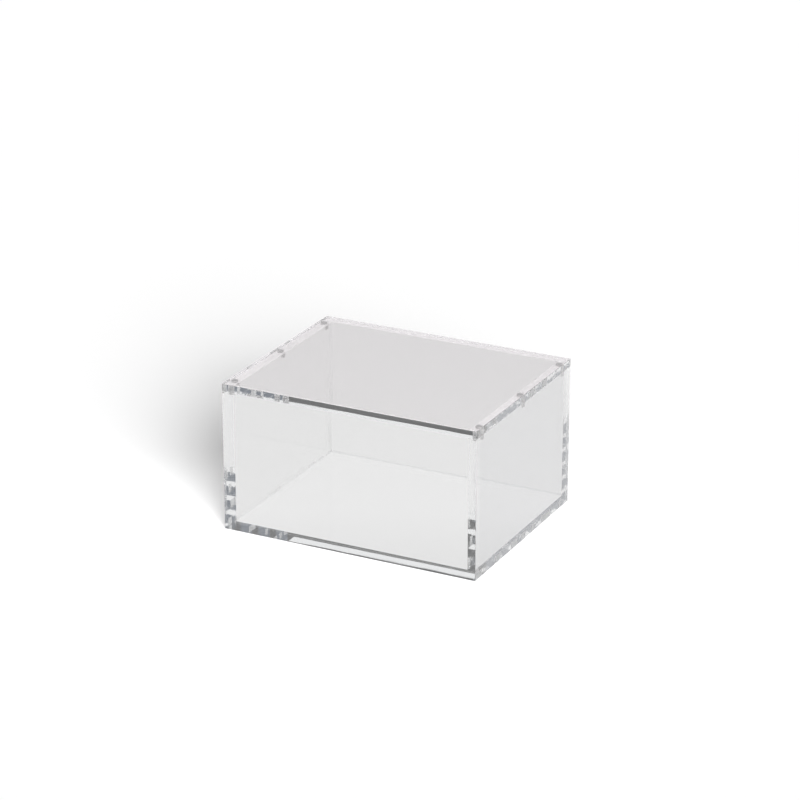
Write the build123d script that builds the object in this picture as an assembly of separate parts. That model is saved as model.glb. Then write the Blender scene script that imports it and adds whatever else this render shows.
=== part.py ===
from build123d import *
import os

# Acrylic storage box with a loose lid
# A low open box of clear polished sheet, bonded at its seams, under a flat lid of the same outline.
# Disc magnets in the tops of the two side walls hold the lid by disc magnets in its underside.
# Millimetres, +Z up, +X to the right, the front faces -Y.
# The origin is the middle of the underside, on the surface that the box stands on.

# Overall size, with the lid on
box_width = 210.0
box_depth = 165.5
box_height = 117.6

# Sheet stock, by its thickness
base_sheet = 6.08
lid_sheet = 6.08
front_sheet = 6.08
back_sheet = 6.08
side_sheet = 8.0

# The outer edges of the bonded box and of the lid are flattened by polishing
box_arris = 0.15
lid_arris = 0.15

# Disc magnets, glued into blind pockets. Their edges are broken before they are plated.
lid_magnet_diameter = 5.0
lid_magnet_height = 4.0
wall_magnet_diameter = 5.0
wall_magnet_height = 4.0
magnet_edge_break = 0.2
magnet_side_gap = 0.05
magnet_face_recess = 0.1
magnet_end_distance = 12.4

# How far each pocket's cutter runs past the sheet's face
cut_overrun = 1.0

# Levels and planes that the pieces share
rim_level = box_height - lid_sheet
side_face = box_width / 2
front_face = -box_depth / 2
back_face = box_depth / 2
front_wall_inside = front_face + front_sheet
back_wall_inside = back_face - back_sheet
magnet_line = side_face - side_sheet / 2

# Where the magnets stand: the sides, and the places along each side
magnet_sides = {"left": -magnet_line, "right": magnet_line}
magnet_places = {
    "front": front_face + magnet_end_distance,
    "middle": 0,
    "back": back_face - magnet_end_distance,
}

bottom_centred = (Align.CENTER, Align.CENTER, Align.MIN)


def block(x_span, y_span, z_span):
    """A rectangular block between two planes in each direction."""
    corner = Pos(x_span[0], y_span[0], z_span[0])
    size = (x_span[1] - x_span[0], y_span[1] - y_span[0], z_span[1] - z_span[0])
    return corner * Box(*size, align=Align.MIN)


def disc(diameter, height, x, y, z):
    """An upright disc whose lower face is at height z."""
    return Pos(x, y, z) * Cylinder(diameter / 2, height, align=bottom_centred)


def box_envelope():
    """The bonded box as one block. Its outer edges are broken once, across the bonded sheets."""
    outline = block((-side_face, side_face), (front_face, back_face), (0, rim_level))
    return chamfer(outline.edges(), box_arris)


def bonded_sheet(envelope, x_span, y_span, z_span):
    """One sheet of the bonded box, with the polished edges that it shows outside."""
    return (block(x_span, y_span, z_span) & envelope).solid()


def pocket_cutters(diameter, depth, low_end, sides):
    """Cutters for blind pockets that start at one height, each with room for glue round its magnet."""
    pocket_diameter = diameter + 2 * magnet_side_gap
    return [
        disc(pocket_diameter, depth + cut_overrun, magnet_sides[side], y, low_end)
        for side in sides
        for y in magnet_places.values()
    ]


def side_wall(envelope, side):
    """A side wall between the front and back walls, with a pocket for each magnet in its top."""
    inside = side_face - side_sheet
    x_span = (-side_face, -inside) if side == "left" else (inside, side_face)
    wall = bonded_sheet(envelope, x_span, (front_wall_inside, back_wall_inside), (base_sheet, rim_level))
    depth = wall_magnet_height + magnet_face_recess
    cutters = pocket_cutters(wall_magnet_diameter, depth, rim_level - depth, [side])
    return (wall - cutters).solid()


def lid_panel():
    """The loose lid, as large as the box, with the pockets for its magnets in its underside."""
    plain = block((-side_face, side_face), (front_face, back_face), (rim_level, box_height))
    sheet = chamfer(plain.edges(), lid_arris)
    depth = lid_magnet_height + magnet_face_recess
    cutters = pocket_cutters(lid_magnet_diameter, depth, rim_level - cut_overrun, magnet_sides)
    return (sheet - cutters).solid()


def magnet(diameter, height, x, y, z):
    """A disc magnet with both of its round edges broken."""
    plain = disc(diameter, height, x, y, z)
    return chamfer(plain.edges().filter_by(GeomType.CIRCLE), magnet_edge_break)


def lid_magnet(x, y):
    """A magnet on the floor of its pocket, just inside the lid's underside."""
    return magnet(lid_magnet_diameter, lid_magnet_height, x, y, rim_level + magnet_face_recess)


def wall_magnet(x, y):
    """A magnet on the floor of its pocket, just below the wall's top."""
    floor_level = rim_level - magnet_face_recess - wall_magnet_height
    return magnet(wall_magnet_diameter, wall_magnet_height, x, y, floor_level)


def all_pieces():
    """Every piece by its name."""
    envelope = box_envelope()
    full_width = (-side_face, side_face)
    full_depth = (front_face, back_face)
    wall_span = (base_sheet, rim_level)
    pieces = {
        "base_panel": bonded_sheet(envelope, full_width, full_depth, (0, base_sheet)),
        "front_wall": bonded_sheet(envelope, full_width, (front_face, front_wall_inside), wall_span),
        "back_wall": bonded_sheet(envelope, full_width, (back_wall_inside, back_face), wall_span),
        "left_wall": side_wall(envelope, "left"),
        "right_wall": side_wall(envelope, "right"),
        "lid_panel": lid_panel(),
    }
    for side, x in magnet_sides.items():
        for place, y in magnet_places.items():
            pieces[f"lid_magnet_{side}_{place}"] = lid_magnet(x, y)
            pieces[f"wall_magnet_{side}_{place}"] = wall_magnet(x, y)
    return pieces


os.makedirs("parts", exist_ok=True)
for name, piece in all_pieces().items():
    export_step(piece, f"parts/{name}.step")
    size = piece.bounding_box().size
    print(f"{name}: {size.X:.2f} x {size.Y:.2f} x {size.Z:.2f} mm, {piece.volume / 1000:.2f} cm3")
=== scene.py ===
# %% [markdown]
# # A clear acrylic storage box with a lid
#
# The real object is a low box of clear cast acrylic sheet: a base, four walls and a loose lid, with small
# disc magnets set into the tops of the side walls and into the underside of the lid. There is no colour and
# no ornament, so everything that the eye sees is light on its way through the sheets. This notebook dresses
# the CAD model for that. It works in metres, in the frame of the CAD model, and each piece goes exactly
# where its CAD solid is.

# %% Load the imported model
from math import cos, pi, radians, sin

import bmesh
import bpy
from mathutils import Matrix, Vector


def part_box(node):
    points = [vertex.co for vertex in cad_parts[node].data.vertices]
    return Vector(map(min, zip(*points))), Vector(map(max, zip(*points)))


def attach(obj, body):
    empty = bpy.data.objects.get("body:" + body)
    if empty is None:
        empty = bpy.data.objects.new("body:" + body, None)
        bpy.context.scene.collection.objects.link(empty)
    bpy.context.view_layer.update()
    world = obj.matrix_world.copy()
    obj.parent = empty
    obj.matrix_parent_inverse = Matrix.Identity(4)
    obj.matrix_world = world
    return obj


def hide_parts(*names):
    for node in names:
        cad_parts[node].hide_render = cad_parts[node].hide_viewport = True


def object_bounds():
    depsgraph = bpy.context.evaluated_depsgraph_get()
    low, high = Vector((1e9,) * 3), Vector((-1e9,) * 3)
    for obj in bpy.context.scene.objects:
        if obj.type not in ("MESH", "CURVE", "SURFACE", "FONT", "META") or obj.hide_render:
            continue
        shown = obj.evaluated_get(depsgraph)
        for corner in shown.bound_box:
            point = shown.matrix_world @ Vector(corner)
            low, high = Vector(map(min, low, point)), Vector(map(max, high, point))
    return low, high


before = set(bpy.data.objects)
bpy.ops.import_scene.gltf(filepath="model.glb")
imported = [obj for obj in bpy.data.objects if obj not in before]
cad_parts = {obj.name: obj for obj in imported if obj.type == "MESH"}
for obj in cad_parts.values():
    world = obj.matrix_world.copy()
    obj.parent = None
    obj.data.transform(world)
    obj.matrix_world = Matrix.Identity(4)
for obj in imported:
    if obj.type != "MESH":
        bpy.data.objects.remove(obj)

cad_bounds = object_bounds()
box_low, box_high = cad_bounds
print("CAD box in metres:", [round(v, 4) for v in box_high - box_low])

# %% [markdown]
# ## Sizes
#
# The sheets' places come from the CAD model, so nothing is fitted by eye. Only what is too small for the
# CAD model gets a size here: the film of air that stays between the lid and the walls, and between the base
# and the floor. It is a few hundredths of a millimetre in reality, and it matters: light that meets it at a
# slant can't leave the sheet. The film of glue round each magnet and the flattened outer edges are of the
# same order.

# %% Sizes
MM = 0.001
ARRIS = 0.15 * MM
AIR_FILM = 0.05 * MM
GLUE_FILM = 0.02 * MM
CUT_OVERRUN = 1.0 * MM
POCKET_SEGMENTS = 64

base_low, base_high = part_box("base_panel")
front_low, front_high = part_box("front_wall")
back_low, back_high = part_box("back_wall")
left_low, left_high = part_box("left_wall")
right_low, right_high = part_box("right_wall")
lid_low, lid_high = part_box("lid_panel")
rim_level = lid_low.z
SIDES = ("left", "right")
PLACES = ("front", "middle", "back")
front_sheet = front_high.y - front_low.y
print("Sheets in mm: base", round(base_high.z / MM, 2), "front", round(front_sheet / MM, 2))

# %% [markdown]
# ## Two helpers for materials
#
# Colours are written as a designer reads them from a picture, as sRGB hex values. Blender's shaders work in
# linear light, so one function turns the one into the other. A second small function adds a node with its
# settings and its links, which keeps each material short enough to read.

# %% Material helpers
def linear(hex_colour):
    """An sRGB hex colour as linear red, green, blue and alpha."""
    shares = [int(hex_colour[i : i + 2], 16) / 255 for i in (1, 3, 5)]
    return (*[s / 12.92 if s <= 0.04045 else ((s + 0.055) / 1.055) ** 2.4 for s in shares], 1.0)


def add_node(tree, kind, inputs=None, **settings):
    """Adds a node. Settings go on the node itself. An input is a value, or an output to link from."""
    node = tree.nodes.new(kind)
    for name, value in settings.items():
        setattr(node, name, value)
    for socket, value in (inputs or {}).items():
        if isinstance(value, bpy.types.NodeSocket):
            tree.links.new(value, node.inputs[socket])
        else:
            node.inputs[socket].default_value = value
    return node


def new_material(name):
    """An empty node material, with its node tree and its output."""
    material = bpy.data.materials.new(name)
    material.use_nodes = True
    material.node_tree.nodes.clear()
    output = add_node(material.node_tree, "ShaderNodeOutputMaterial")
    return material, material.node_tree, output


def place_in_mm(tree):
    """The point on the object in millimetres, so that a pattern's scale can be read as a real size."""
    here = add_node(tree, "ShaderNodeTexCoord")
    factors = {0: here.outputs["Object"], 1: (1 / MM,) * 3}
    scaled = add_node(tree, "ShaderNodeVectorMath", factors, operation="MULTIPLY")
    return scaled.outputs[0]


print("White in linear light:", linear("#ffffff"))

# %% [markdown]
# ## Cast acrylic, the faces
#
# Cast acrylic (PMMA) comes from between two sheets of glass, so its faces are as flat and bright as glass.
# Its refractive index is 1.49. A Principled shader with full transmission gives the reflections at the
# right strength and bends the light as the real sheet does. Three small things keep it from looking drawn.
# Handling leaves faint wipe marks, which only a slanting light shows: a very small rise of the roughness,
# in streaks about 30 mm wide and four times as long. The faces are a little wavy, and the side walls more
# so, with waves that run along the wall. And each sheet has a tint of its own, which is painted shade:
# it is chosen by how bright that side of the box is in the photograph, and stands for the studio's uneven
# light.

# %% Acrylic face
ACRYLIC_IOR = 1.492
# Painted shade: each sheet's tint darkens what is seen through it, by how bright that side of the box looks
FRONT_PAINTED_SHADE = linear("#f2f2f2")
BACK_PAINTED_SHADE = linear("#f1f1f1")
RIGHT_PAINTED_SHADE = linear("#e5e5e6")
LEFT_PAINTED_SHADE = linear("#f0f0f0")
LID_PAINTED_SHADE = linear("#fdfbfc")
BASE_TINT = linear("#ffffff")
WIPE_MM = 30.0
WIPE_STRETCH = (0.25, 1.0, 1.0)
WIPE_SPAN = (0.45, 0.8)
WIPE_ROUGHNESS = 0.05
FACE_WAVE_MM = 18.0
FACE_WAVE_HEIGHT = 0.008 * MM
SIDE_WAVE_MM = 6.0
SIDE_WAVE_HEIGHT = 0.02 * MM
SIDE_WAVE_STRETCH = (1.0, 0.15, 1.0)
EVEN_WAVES = (FACE_WAVE_MM, FACE_WAVE_HEIGHT, (1.0, 1.0, 1.0))
SIDE_WAVES = (SIDE_WAVE_MM, SIDE_WAVE_HEIGHT, SIDE_WAVE_STRETCH)


def acrylic_face(name, tint, face_waves):
    """Clear cast acrylic, factory face: like glass, with a trace of wiping, a faint wave and a tint of
    painted shade.
    """
    wave_mm, wave_height, wave_stretch = face_waves
    material, tree, output = new_material(name)
    here = place_in_mm(tree)
    wiped = add_node(tree, "ShaderNodeMapping", {"Vector": here, "Scale": WIPE_STRETCH})
    wipes = add_node(
        tree,
        "ShaderNodeTexNoise",
        {"Vector": wiped.outputs[0], "Scale": 1 / WIPE_MM, "Detail": 6.0},
    )
    haze = add_node(
        tree,
        "ShaderNodeMapRange",
        {
            "Value": wipes.outputs["Fac"],
            "From Min": WIPE_SPAN[0],
            "From Max": WIPE_SPAN[1],
            "To Min": 0.0,
            "To Max": WIPE_ROUGHNESS,
        },
    )
    drawn = add_node(tree, "ShaderNodeMapping", {"Vector": here, "Scale": wave_stretch})
    waves = add_node(
        tree,
        "ShaderNodeTexNoise",
        {"Vector": drawn.outputs[0], "Scale": 1 / wave_mm, "Detail": 0.0},
    )
    flat = add_node(
        tree,
        "ShaderNodeBump",
        {"Height": waves.outputs["Fac"], "Distance": wave_height, "Strength": 1.0},
    )
    shader = add_node(
        tree,
        "ShaderNodeBsdfPrincipled",
        {
            "Base Color": tint,
            "Transmission Weight": 1.0,
            "IOR": ACRYLIC_IOR,
            "Roughness": haze.outputs["Result"],
            "Normal": flat.outputs["Normal"],
        },
    )
    tree.links.new(shader.outputs[0], output.inputs["Surface"])
    return material


wall_faces = {
    "front_wall": acrylic_face("clear_cast_acrylic_front_face", FRONT_PAINTED_SHADE, EVEN_WAVES),
    "back_wall": acrylic_face("clear_cast_acrylic_back_face", BACK_PAINTED_SHADE, EVEN_WAVES),
    "left_wall": acrylic_face("clear_cast_acrylic_left_face", LEFT_PAINTED_SHADE, SIDE_WAVES),
    "right_wall": acrylic_face("clear_cast_acrylic_right_face", RIGHT_PAINTED_SHADE, SIDE_WAVES),
}
lid_face = acrylic_face("clear_cast_acrylic_lid_face", LID_PAINTED_SHADE, EVEN_WAVES)
base_face = acrylic_face("clear_cast_acrylic_base_face", BASE_TINT, EVEN_WAVES)
print("Faces:", [m.name for m in [*wall_faces.values(), lid_face, base_face]])

# %% [markdown]
# ## Cast acrylic, the edges
#
# A sheet is sawn or milled to size, and its edges are then polished with a diamond cutter or a flame. The
# edge is bright, but it isn't as flat as the face: it keeps fine marks, one for each millimetre or so of
# the cutter's travel, and a slow ripple. Here the front and back edges are diamond polished. The left and
# right edges are only buffed: they ripple more, and here and there the wheel has missed a stroke, which
# stays rough. All the zig-zag images in the box are thrown back by these edges, so their faults break the
# images into short strokes, and that is what makes them look like light in acrylic. A bump can't do it,
# because Cycles smooths it away for a ray that has been thrown back often, while a rough stroke works for
# every ray.

# %% Polished edge
DIAMOND_TINT = linear("#e8e9ea")
BUFFED_TINT = linear("#f7f7f7")
CUTTER_STEP_MM = 1.2
CUTTER_MARK_HEIGHT = 0.00003 * MM
RIPPLE_MM = 9.0
RIPPLE_HEIGHT = 0.0015 * MM
DIAMOND_ROUGHNESS = 0.02
BUFFED_RIPPLE_MM = 4.5
BUFFED_RIPPLE_HEIGHT = 0.11 * MM
BUFFED_ROUGHNESS = 0.08
BUFFED_MISSED = 0.5
WALL_MISSED = 0.14
BROKEN_ROUGHNESS = 0.16
STROKE_MM = 12.0
STROKE_STRETCH = (1.0, 1.0, 0.3)
STROKE_SPAN = (0.55, 0.59)


def polished_edge(name, tint, ripple_mm, ripple_height, roughness, missed=0.0):
    """Clear cast acrylic, polished edge: bright, with fine marks, a ripple and strokes that were missed."""
    material, tree, output = new_material(name)
    here = place_in_mm(tree)
    ripple = add_node(
        tree,
        "ShaderNodeTexNoise",
        {"Vector": here, "Scale": 1 / ripple_mm, "Detail": 1.0},
    )
    marks = add_node(
        tree,
        "ShaderNodeTexNoise",
        {"Vector": here, "Scale": 1 / CUTTER_STEP_MM, "Detail": 2.0},
    )
    rippled = add_node(
        tree,
        "ShaderNodeBump",
        {"Height": ripple.outputs["Fac"], "Distance": ripple_height, "Strength": 1.0},
    )
    marked = add_node(
        tree,
        "ShaderNodeBump",
        {
            "Height": marks.outputs["Fac"],
            "Distance": CUTTER_MARK_HEIGHT,
            "Strength": 1.0,
            "Normal": rippled.outputs["Normal"],
        },
    )
    polish = add_node(
        tree,
        "ShaderNodeMapRange",
        {"Value": marks.outputs["Fac"], "To Min": roughness / 2, "To Max": roughness},
    )
    upright = add_node(tree, "ShaderNodeMapping", {"Vector": here, "Scale": STROKE_STRETCH})
    strokes = add_node(
        tree,
        "ShaderNodeTexNoise",
        {"Vector": upright.outputs[0], "Scale": 1 / STROKE_MM, "Detail": 1.0},
    )
    left_rough = add_node(
        tree,
        "ShaderNodeMapRange",
        {
            "Value": strokes.outputs["Fac"],
            "From Min": STROKE_SPAN[0],
            "From Max": STROKE_SPAN[1],
            "To Min": 0.0,
            "To Max": missed,
        },
    )
    finish = add_node(
        tree,
        "ShaderNodeMath",
        {0: polish.outputs["Result"], 1: left_rough.outputs["Result"]},
        operation="ADD",
    )
    shader = add_node(
        tree,
        "ShaderNodeBsdfPrincipled",
        {
            "Base Color": tint,
            "Transmission Weight": 1.0,
            "IOR": ACRYLIC_IOR,
            "Roughness": finish.outputs[0],
            "Normal": marked.outputs["Normal"],
        },
    )
    tree.links.new(shader.outputs[0], output.inputs["Surface"])
    return material


diamond = (DIAMOND_TINT, RIPPLE_MM, RIPPLE_HEIGHT, DIAMOND_ROUGHNESS)
buffed = (BUFFED_TINT, BUFFED_RIPPLE_MM, BUFFED_RIPPLE_HEIGHT, BUFFED_ROUGHNESS)
broken = (BUFFED_TINT, RIPPLE_MM, RIPPLE_HEIGHT, BROKEN_ROUGHNESS)
front_edge = polished_edge("clear_cast_acrylic_diamond_polished_edge", *diamond)
side_edge = polished_edge("clear_cast_acrylic_buffed_edge", *buffed, BUFFED_MISSED)
wall_end = polished_edge("clear_cast_acrylic_buffed_wall_end", *buffed, WALL_MISSED)
broken_edge = polished_edge("clear_cast_acrylic_broken_edge", *broken)
print("Edges:", [m.name for m in (front_edge, side_edge, wall_end, broken_edge)])

# %% [markdown]
# ## Cast acrylic, the rim
#
# The tops of the walls are milled level after the box is bonded, so that the lid lies flat on them, and
# they are only lightly polished. The tool leaves a fine satin surface, which spreads the light: seen
# through the lid, the rim is a pale frame round its sides. A clear but rough surface alone came out too
# dark for that, so the greater part of the finish is pale and matt, and the rest is clear.

# %% Rim
MILL_GRAIN_MM = 0.6
MILL_GRAIN_HEIGHT = 0.004 * MM
MILL_CLEARNESS = 0.3
MILL_WHITE = linear("#f0f0f0")
MILL_ROUGHNESS = (0.3, 0.5)


def milled_rim():
    """Clear cast acrylic, as left by an end mill: satin, pale where it spreads the light."""
    material, tree, output = new_material("clear_cast_acrylic_milled_rim")
    here = place_in_mm(tree)
    grain = add_node(
        tree,
        "ShaderNodeTexNoise",
        {"Vector": here, "Scale": 1 / MILL_GRAIN_MM, "Detail": 3.0},
    )
    smooth, rough = MILL_ROUGHNESS
    satin = add_node(
        tree,
        "ShaderNodeMapRange",
        {"Value": grain.outputs["Fac"], "To Min": smooth, "To Max": rough},
    )
    cut = add_node(
        tree,
        "ShaderNodeBump",
        {"Height": grain.outputs["Fac"], "Distance": MILL_GRAIN_HEIGHT, "Strength": 1.0},
    )
    shader = add_node(
        tree,
        "ShaderNodeBsdfPrincipled",
        {
            "Base Color": MILL_WHITE,
            "Transmission Weight": MILL_CLEARNESS,
            "IOR": ACRYLIC_IOR,
            "Roughness": satin.outputs["Result"],
            "Normal": cut.outputs["Normal"],
        },
    )
    tree.links.new(shader.outputs[0], output.inputs["Surface"])
    return material


rim = milled_rim()
print("Rim:", rim.name)

# %% [markdown]
# ## Solvent-welded seams
#
# The five lower sheets are joined with a solvent that melts both faces together. Inside a good seam there
# is no surface left, so light crosses it as if the two sheets were one. Each sheet here is still its own
# closed mesh, as on the bench, and its seam faces get a nearly transparent finish. With plain acrylic
# there, each seam would act as a mirror for slanting light and the box would lose its zig-zag images. A
# trace of haze stays, as fine bubbles do: grey in the upright seams, which most of the guided light crosses
# edge on, and paler in the seams on the base. The grey is partly haze and partly painted shade, which
# darkens the blocks along the edges.

# %% Seam
# Painted shade: the upright seams' haze is grey, so that it darkens the blocks along the edges
WELD_HAZE_AND_SHADE = linear("#808284")
WELD_ALPHA = 0.045
BASE_WELD_HAZE = linear("#f4f4f4")
BASE_WELD_ALPHA = 0.09


def welded_seam(name, haze, alpha):
    """A solvent weld between two sheets: nearly nothing is there, but for a trace of haze, grey where it is
    also painted shade.
    """
    material, tree, output = new_material(name)
    weld = {"Base Color": haze, "Alpha": alpha, "IOR": ACRYLIC_IOR}
    shader = add_node(tree, "ShaderNodeBsdfPrincipled", weld)
    tree.links.new(shader.outputs[0], output.inputs["Surface"])
    return material


wall_seam = welded_seam("solvent_welded_wall_seam", WELD_HAZE_AND_SHADE, WELD_ALPHA)
base_seam = welded_seam("solvent_welded_base_seam", BASE_WELD_HAZE, BASE_WELD_ALPHA)
print("Seams:", wall_seam.name, base_seam.name)

# %% [markdown]
# ## Nickel plate
#
# Disc magnets are sintered, tumbled and plated with nickel. The plate is a pale metal, hardly warm, with a
# soft satin sheen, which follows the fine grain of the tumbled magnet below it. As a metal it keeps the
# default IOR, and its colour carries all of its reflection.

# %% Nickel
NICKEL = linear("#ecebeb")
TUMBLE_GRAIN_MM = 0.35
TUMBLE_GRAIN_HEIGHT = 0.003 * MM
SATIN_ROUGHNESS = (0.42, 0.55)


def satin_nickel():
    """Nickel plate on a tumbled magnet: pale, satin, a little uneven."""
    material, tree, output = new_material("satin_nickel_plate")
    here = place_in_mm(tree)
    grain = add_node(
        tree,
        "ShaderNodeTexNoise",
        {"Vector": here, "Scale": 1 / TUMBLE_GRAIN_MM, "Detail": 4.0},
    )
    smooth, rough = SATIN_ROUGHNESS
    satin = add_node(
        tree,
        "ShaderNodeMapRange",
        {"Value": grain.outputs["Fac"], "To Min": smooth, "To Max": rough},
    )
    bumpy = add_node(
        tree,
        "ShaderNodeBump",
        {"Height": grain.outputs["Fac"], "Distance": TUMBLE_GRAIN_HEIGHT, "Strength": 1.0},
    )
    shader = add_node(
        tree,
        "ShaderNodeBsdfPrincipled",
        {
            "Base Color": NICKEL,
            "Metallic": 1.0,
            "Roughness": satin.outputs["Result"],
            "Normal": bumpy.outputs["Normal"],
        },
    )
    tree.links.new(shader.outputs[0], output.inputs["Surface"])
    return material


nickel = satin_nickel()
print("Nickel:", nickel.name)

# %% [markdown]
# ## The sheets
#
# Each sheet is built as its own mesh: a block between two corners, whose outer edges are broken by the
# polishing, and whose inner face is divided where a neighbour is welded on. The alternative is to give the
# CAD solid a material, but then the seams couldn't have a finish of their own. Every face gets its finish
# by where it lies: along the sheet it is a cast face, across its thickness a polished edge or the rim, at
# 45 degrees a broken edge, and on a neighbour a seam. A finish is known by its place in the list that each
# sheet carries, so the places get names first.

# %% Sheet helpers
FACE, EDGE, SIDE_EDGE, WALL_END, BROKEN_EDGE, RIM, SEAM, BASE_SEAM = range(8)
other_finishes = [front_edge, side_edge, wall_end, broken_edge, rim, wall_seam, base_seam]
TOUCH = 0.001 * MM
# A face is square to an axis when its normal has at least this share along it. The upright axis is Z
SQUARE = 0.99
UPRIGHT = 2


def corners(low, high):
    """The eight corners of a block, in the order that block_faces uses."""
    return [Vector((x, y, z)) for x in (low.x, high.x) for y in (low.y, high.y) for z in (low.z, high.z)]


block_faces = ((0, 1, 3, 2), (4, 6, 7, 5), (0, 4, 5, 1), (2, 3, 7, 6), (0, 2, 6, 4), (1, 5, 7, 3))


def block(low, high):
    """A closed block as a bmesh."""
    mesh = bmesh.new()
    points = [mesh.verts.new(c) for c in corners(low, high)]
    for loop in block_faces:
        mesh.faces.new([points[i] for i in loop])
    bmesh.ops.recalc_face_normals(mesh, faces=mesh.faces)
    return mesh


def planes_met(point, low, high):
    """How many of a block's six planes a point lies on."""
    return sum(min(abs(point[i] - low[i]), abs(point[i] - high[i])) < TOUCH for i in range(3))


def break_edges(mesh, low, high):
    """Flattens the edges that lie along the edges of the whole block between two corners."""
    outer = [e for e in mesh.edges if planes_met((e.verts[0].co + e.verts[1].co) / 2, low, high) >= 2]
    bmesh.ops.bevel(mesh, geom=outer, offset=ARRIS, segments=1, affect="EDGES", clamp_overlap=True)


def divide(mesh, axis, level):
    """Divides the faces that cross a plane, so that each part can have its own finish."""
    normal = Vector([float(i == axis) for i in range(3)])
    everything = mesh.verts[:] + mesh.edges[:] + mesh.faces[:]
    bmesh.ops.bisect_plane(mesh, geom=everything, plane_co=normal * level, plane_no=normal, dist=TOUCH)


def inside(point, low, high):
    """True if a point lies in a block, its surface included."""
    return all(low[i] - TOUCH <= point[i] <= high[i] + TOUCH for i in range(3))


print("Finishes on a sheet:", len(other_finishes) + 1)

# %% [markdown]
# A pocket is cut with a Boolean modifier, as a drill cuts the real one. The cutter is a disc a hair wider
# and deeper than the magnet's own box, which leaves the glue its room. The glue is as clear as the sheet,
# so the pocket's faces get the seams' finish. The modifier is applied at once, so the piece is plain mesh.

# %% Pockets
def disc(mesh, centre, radius, bottom, top):
    """Adds a closed upright disc to a bmesh."""
    rings = []
    turns = [2 * pi * i / POCKET_SEGMENTS for i in range(POCKET_SEGMENTS)]
    places = [(centre.x + radius * cos(t), centre.y + radius * sin(t)) for t in turns]
    for z in (bottom, top):
        rings.append([mesh.verts.new((x, y, z)) for x, y in places])
    mesh.faces.new(rings[0][::-1])
    mesh.faces.new(rings[1])
    for i in range(POCKET_SEGMENTS):
        j = (i + 1) % POCKET_SEGMENTS
        mesh.faces.new((rings[0][i], rings[0][j], rings[1][j], rings[1][i])).smooth = True


def cut_pockets(piece, magnets, opens_up):
    """Cuts a pocket round each magnet into the sheet that holds it."""
    mesh = bmesh.new()
    for node in magnets:
        low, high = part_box(node)
        radius = (high.x - low.x) / 2 + AIR_FILM
        bottom = low.z - (GLUE_FILM if opens_up else CUT_OVERRUN)
        top = high.z + (CUT_OVERRUN if opens_up else GLUE_FILM)
        disc(mesh, (low + high) / 2, radius, bottom, top)
    data = bpy.data.meshes.new("pocket_cutter")
    for face in mesh.faces:
        # The pocket faces take the upright seams' finish, grey haze and painted shade included
        face.material_index = SEAM
    mesh.to_mesh(data)
    mesh.free()
    for finish in piece.data.materials:
        data.materials.append(finish)
    cutter = bpy.data.objects.new("pocket_cutter", data)
    bpy.context.collection.objects.link(cutter)
    drill = piece.modifiers.new("drill", "BOOLEAN")
    drill.object = cutter
    drill.operation = "DIFFERENCE"
    drill.solver = "EXACT"
    drilled = bpy.data.meshes.new_from_object(piece.evaluated_get(bpy.context.evaluated_depsgraph_get()))
    piece.modifiers.clear()
    piece.data = drilled
    bpy.data.objects.remove(cutter)
    bpy.data.meshes.remove(data)


def sheet(node, body, face_finish, span, whole, neighbours=(), cuts=(), magnets=(), opens_up=True):
    """A sheet as a piece that replaces its CAD solid, with its finishes face by face."""
    low, high = span
    mesh = block(low, high)
    break_edges(mesh, *whole)
    for axis, level in cuts:
        divide(mesh, axis, level)
    thin = min(range(3), key=lambda i: (high - low)[i])
    cut_finishes = (SIDE_EDGE if thin == UPRIGHT else WALL_END, EDGE, RIM)
    for face in mesh.faces:
        straight = [i for i in range(3) if abs(face.normal[i]) > SQUARE]
        if any(inside(face.calc_center_median(), *neighbour) for neighbour in neighbours):
            face.material_index = BASE_SEAM if straight == [UPRIGHT] else SEAM
        elif not straight:
            face.material_index = BROKEN_EDGE
        else:
            face.material_index = FACE if straight == [thin] else cut_finishes[straight[0]]
    data = bpy.data.meshes.new(f"{node}_sheet")
    mesh.to_mesh(data)
    mesh.free()
    for finish in [face_finish] + other_finishes:
        data.materials.append(finish)
    piece = bpy.data.objects.new(f"{node}_sheet", data)
    bpy.context.collection.objects.link(piece)
    if magnets:
        cut_pockets(piece, magnets, opens_up)
    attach(piece, body)
    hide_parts(node)
    used = sorted({p.material_index for p in piece.data.polygons})
    print(piece.name, "faces:", len(piece.data.polygons), "finishes:", used)
    return piece


# %% [markdown]
# ## The bonded box
#
# The base carries the four walls, so its top is divided along the walls' inner faces: a clear floor in the
# middle and a frame of seam round it. The front and back walls run the full width, and the side walls stand
# between them. All the outer edges follow one block, because the box is trimmed and polished after it is
# bonded. The walls' tops are lower than in the CAD model by the film of air, so that the lid keeps its full
# thickness.

# %% Build the bonded box
rim_top = rim_level - AIR_FILM
shell = (Vector(base_low), Vector((base_high.x, base_high.y, rim_top)))
for corner in (front_high, back_high, left_high, right_high):
    corner.z = rim_top
walls = {
    "front_wall": (front_low, front_high),
    "back_wall": (back_low, back_high),
    "left_wall": (left_low, left_high),
    "right_wall": (right_low, right_high),
}
base = (base_low, base_high)
inner_sides = [(0, left_high.x), (0, right_low.x)]
inner_ends = [(1, front_high.y), (1, back_low.y)]
sheet("base_panel", "box", base_face, base, shell, list(walls.values()), inner_sides + inner_ends)
for name in ("front_wall", "back_wall"):
    touching = [base, walls["left_wall"], walls["right_wall"]]
    sheet(name, "box", wall_faces[name], walls[name], shell, touching, inner_sides)
for side in SIDES:
    name = f"{side}_wall"
    touching = [base, walls["front_wall"], walls["back_wall"]]
    magnets = [f"wall_magnet_{side}_{place}" for place in PLACES]
    sheet(name, "box", wall_faces[name], walls[name], shell, touching, magnets=magnets)

# %% [markdown]
# ## The lid
#
# The lid is one loose sheet as large as the box, with a film of air between it and the walls' tops. Its six
# pockets open downwards.

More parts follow.
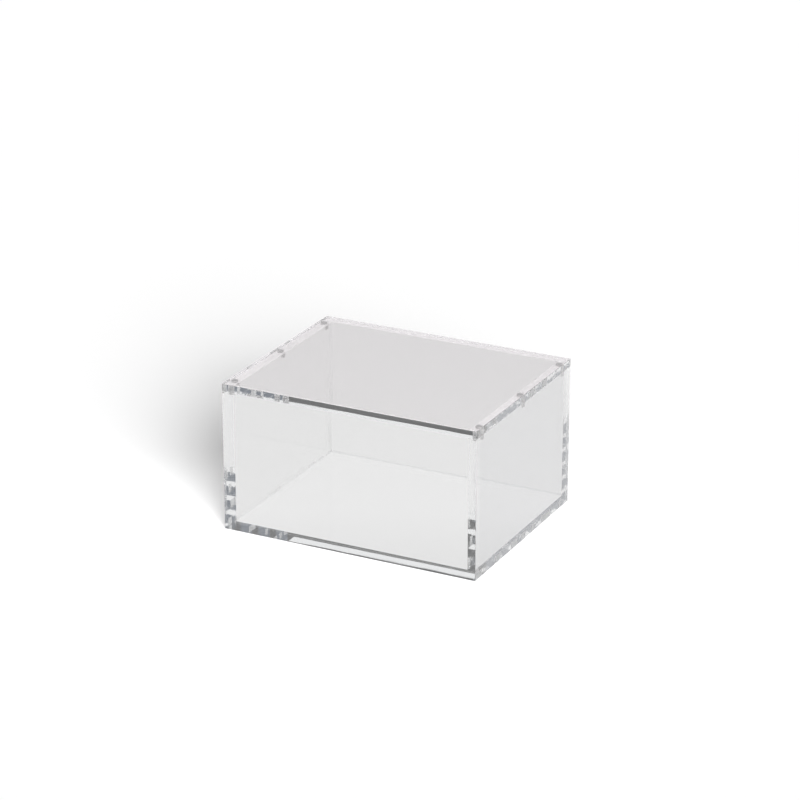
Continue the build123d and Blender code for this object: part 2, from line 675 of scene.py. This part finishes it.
# %% Build the lid
lid_magnets = [f"lid_magnet_{side}_{place}" for side in SIDES for place in PLACES]
lid = (lid_low, lid_high)
sheet("lid_panel", "lid", lid_face, lid, lid, magnets=lid_magnets, opens_up=False)

# %% [markdown]
# ## The magnets
#
# The magnets' CAD solids have the right shape, a disc with a broken edge, so they stay and only get their
# nickel.

# %% Finish the magnets
for node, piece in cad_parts.items():
    if "magnet" in node:
        for place in piece.material_slots:
            place.material = nickel
print("Magnets plated:", sum("magnet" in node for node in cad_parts))

# %% [markdown]
# ## The floor
#
# The box stands on a plain white floor that runs far out on all sides. The floor is a real surface, so it
# keeps the soft shadow of the box. Seen through the acrylic it glows white instead: the lamp's light would
# have to be traced through every zig-zag to reach it, and would come out as noise. The glow falls off a
# little under the front right of the box, as the floor does in the photograph: this dimming is painted
# shade.

# %% Floor
WHITE = (1.0, 1.0, 1.0, 1.0)
FLOOR_WHITE = linear("#fcfcfc")
FLOOR_HALF = 30.0
FLOOR_DROP = 0.05 * MM
MOTTLE_SCALE = 40.0
MATT_ROUGHNESS = (0.85, 1.0)
# Painted shade: the glow seen through the acrylic dims towards the front right of the box
PAINTED_SHADE_DIRECTION = (-0.45, 1.0, 0.0)
PAINTED_SHADE_REACH = 0.12
PAINTED_SHADE_DIM = 0.9


def floor_material():
    """Matt white paint, which mirrored and refracted rays see as a white glow, dimmed by painted shade to
    the front right.
    """
    material, tree, output = new_material("matt_white_floor")
    here = add_node(tree, "ShaderNodeTexCoord")
    mottle = add_node(
        tree,
        "ShaderNodeTexNoise",
        {"Vector": here.outputs["Object"], "Scale": MOTTLE_SCALE, "Detail": 3.0},
    )
    smooth, rough = MATT_ROUGHNESS
    matt = add_node(
        tree,
        "ShaderNodeMapRange",
        {"Value": mottle.outputs["Fac"], "To Min": smooth, "To Max": rough},
    )
    paint = add_node(
        tree,
        "ShaderNodeBsdfPrincipled",
        {"Base Color": FLOOR_WHITE, "Roughness": matt.outputs["Result"], "Specular IOR Level": 0.0},
    )
    path = add_node(tree, "ShaderNodeLightPath")
    through = add_node(
        tree,
        "ShaderNodeMath",
        {0: path.outputs["Is Glossy Ray"], 1: path.outputs["Is Transmission Ray"]},
        operation="MAXIMUM",
    )
    across = add_node(
        tree,
        "ShaderNodeVectorMath",
        {0: here.outputs["Object"], 1: PAINTED_SHADE_DIRECTION},
        operation="DOT_PRODUCT",
    )
    painted_shade = add_node(
        tree,
        "ShaderNodeMapRange",
        {
            "Value": across.outputs["Value"],
            "From Min": -PAINTED_SHADE_REACH,
            "From Max": 0.0,
            "To Min": PAINTED_SHADE_DIM,
            "To Max": 1.0,
        },
    )
    glow = add_node(tree, "ShaderNodeEmission", {"Color": WHITE, "Strength": painted_shade.outputs["Result"]})
    mixed = add_node(
        tree,
        "ShaderNodeMixShader",
        {0: through.outputs[0], 1: paint.outputs[0], 2: glow.outputs[0]},
    )
    tree.links.new(mixed.outputs[0], output.inputs["Surface"])
    return material


floor_data = bpy.data.meshes.new("studio_floor")
quarters = ((-1, -1), (1, -1), (1, 1), (-1, 1))
floor_corners = [(x * FLOOR_HALF, y * FLOOR_HALF, -FLOOR_DROP) for x, y in quarters]
floor_data.from_pydata(floor_corners, [], [(0, 1, 2, 3)])
floor_data.materials.append(floor_material())
floor = bpy.data.objects.new("studio_floor", floor_data)
bpy.context.collection.objects.link(floor)
print("Floor laid, half width in metres:", FLOOR_HALF)

# %% [markdown]
# ## The surroundings
#
# Clear acrylic has no look of its own: it shows what stands round it. In the studio that is a white floor
# and backdrop up to a little above the horizon, a dim room above that, and a soft light overhead. Each ray
# that zig-zags through a sheet leaves it either downwards, towards the white, or upwards, towards the dim
# room, and that makes the light and dark blocks along the edges. The world gives all of it, and the room's
# tone depends on the direction.
#
# Light Path tells how a ray came here. One that mirrors in a first surface sees a room tone of its own, and
# one that has crossed two sheets sees a paler room, for the light that is inside a clear box. A ray that
# has met something matt gathers light instead: for it the world is one even sky, brighter where the ray has
# crossed a sheet, because that stands for the lamp's light, which the acrylic lets through.

# %% World
ROOM_BACK_LEFT = linear("#6e6e6e")
ROOM_BACK_RIGHT = linear("#82878f")
ROOM_FRONT = linear("#a1a4a9")
ROOM_INSIDE = linear("#e0e0e0")
ROOM_MIRRORED = linear("#b4b2b3")
SOFTBOX = (0.9, 0.9, 0.9, 1.0)
BACK_SPLIT = (0.1, 0.25)
FRONT_SPLIT = (0.3, -0.3)
TWO_SHEETS = (3.0, 4.0)
SKYLIGHT = (0.32, 0.32, 0.32, 1.0)
SKYLIGHT_THROUGH = (1.4, 1.4, 1.4, 1.0)
BACKDROP_TOP = radians(10)
BACKDROP_BLEND = radians(1.2)
SOFTBOX_BOTTOM = radians(34)
SOFTBOX_BLEND = radians(10)
# A colour mix has its own sockets among the many of its node
MIX_FIRST, MIX_SECOND, MIX_RESULT = 6, 7, 2


def blend(tree, value, start, end, first, second):
    """One colour that turns into another while a value goes from start to end."""
    share = add_node(tree, "ShaderNodeMapRange", {"Value": value, "From Min": start, "From Max": end})
    colours = {"Factor": share.outputs["Result"], MIX_FIRST: first, MIX_SECOND: second}
    return add_node(tree, "ShaderNodeMix", colours, data_type="RGBA").outputs[MIX_RESULT]


def level_band(elevation, width):
    """The heights on a unit sphere between which a tone changes into the next."""
    return sin(elevation - width / 2), sin(elevation + width / 2)


world = bpy.data.worlds.new("studio")
bpy.context.scene.world = world
world.use_nodes = True
tree = world.node_tree
tree.nodes.clear()
direction = add_node(tree, "ShaderNodeTexCoord")
parts = add_node(tree, "ShaderNodeSeparateXYZ", {0: direction.outputs["Generated"]})
x, y, z = parts.outputs
back = blend(tree, x, *BACK_SPLIT, ROOM_BACK_LEFT, ROOM_BACK_RIGHT)
room = blend(tree, y, *FRONT_SPLIT, back, ROOM_FRONT)
path = add_node(tree, "ShaderNodeLightPath")
crossed = path.outputs["Transmission Depth"]
room = blend(tree, crossed, 0.0, 1.0, ROOM_MIRRORED, room)
room = blend(tree, crossed, *TWO_SHEETS, room, ROOM_INSIDE)
high = blend(tree, z, *level_band(SOFTBOX_BOTTOM, SOFTBOX_BLEND), room, SOFTBOX)
seen = blend(tree, z, *level_band(BACKDROP_TOP, BACKDROP_BLEND), WHITE, high)
skylight = blend(tree, crossed, 0.0, 1.0, SKYLIGHT, SKYLIGHT_THROUGH)
lit = blend(tree, path.outputs["Diffuse Depth"], 0.0, 1.0, seen, skylight)
background = add_node(tree, "ShaderNodeBackground", {"Color": lit, "Strength": 1.0})
add_node(tree, "ShaderNodeOutputWorld", {"Surface": background.outputs[0]})
world.cycles.sampling_method = "NONE"
print("World: backdrop up to", round(BACKDROP_TOP * 180 / pi, 1), "degrees")

# %% [markdown]
# ## The lamp
#
# One large soft lamp stands rather low at the front right, and throws a wide soft shadow to the back left.
# A sun lamp with a large angle does this evenly over the whole floor. It is hidden from mirrored and
# refracted rays, which would show it as bright streaks in the sheets' edges.

# %% Lamp
LAMP_STRENGTH = 5.0
LAMP_ANGLE = radians(30)
LAMP_FROM = Vector((0.66, -0.75, 0.5))

lamp_data = bpy.data.lights.new("softbox", "SUN")
lamp_data.energy = LAMP_STRENGTH
lamp_data.angle = LAMP_ANGLE
lamp = bpy.data.objects.new("softbox", lamp_data)
lamp.visible_glossy = False
lamp.visible_transmission = False
bpy.context.collection.objects.link(lamp)
lamp.rotation_euler = LAMP_FROM.to_track_quat("Z", "Y").to_euler()
print("Lamp from", tuple(round(v, 2) for v in LAMP_FROM.normalized()))

# %% [markdown]
# ## The camera
#
# The photograph was fitted with a camera that looks from the front right and from above. Its distance and
# its long lens keep the box's edges nearly parallel, as in the picture.

# %% Camera
IMAGE_PIXELS = 800
FOCAL_PIXELS = 3044
SENSOR_MM = 36.0
CAMERA_AZIMUTH = radians(26.90)
CAMERA_ELEVATION = radians(21.56)
CAMERA_DISTANCE = 2.3091
AIM_RIGHT = 1.47 * MM
AIM_UP = 32.87 * MM
CLIP_END = 100.0

forward = Vector(
    (
        -sin(CAMERA_AZIMUTH) * cos(CAMERA_ELEVATION),
        cos(CAMERA_AZIMUTH) * cos(CAMERA_ELEVATION),
        -sin(CAMERA_ELEVATION),
    )
)
right = Vector((cos(CAMERA_AZIMUTH), sin(CAMERA_AZIMUTH), 0))
up = right.cross(forward)
aim = (box_low + box_high) / 2 + right * AIM_RIGHT + up * AIM_UP
camera_data = bpy.data.cameras.new("camera")
camera_data.sensor_width = SENSOR_MM
camera_data.lens = FOCAL_PIXELS / IMAGE_PIXELS * SENSOR_MM
camera_data.clip_end = CLIP_END
camera = bpy.data.objects.new("camera", camera_data)
bpy.context.collection.objects.link(camera)
axes = Matrix((right, up, -forward)).transposed().to_4x4()
camera.matrix_world = Matrix.Translation(aim - forward * CAMERA_DISTANCE) @ axes
bpy.context.scene.camera = camera
print("Lens in mm:", round(camera_data.lens, 2))

# %% [markdown]
# ## Light in the sheets
#
# A ray in a sheet is thrown back and forth many times before it leaves, and each turn is a bounce. With
# Cycles' usual limit of a few bounces these rays would end in black, so the limits are raised.

# %% Bounces
BOUNCES = 64
cycles = bpy.context.scene.cycles
cycles.max_bounces = BOUNCES
cycles.glossy_bounces = BOUNCES
cycles.transmission_bounces = BOUNCES
cycles.transparent_max_bounces = BOUNCES
cycles.blur_glossy = 0.0
bpy.context.scene.view_settings.view_transform = "Standard"
print("Bounces:", BOUNCES)
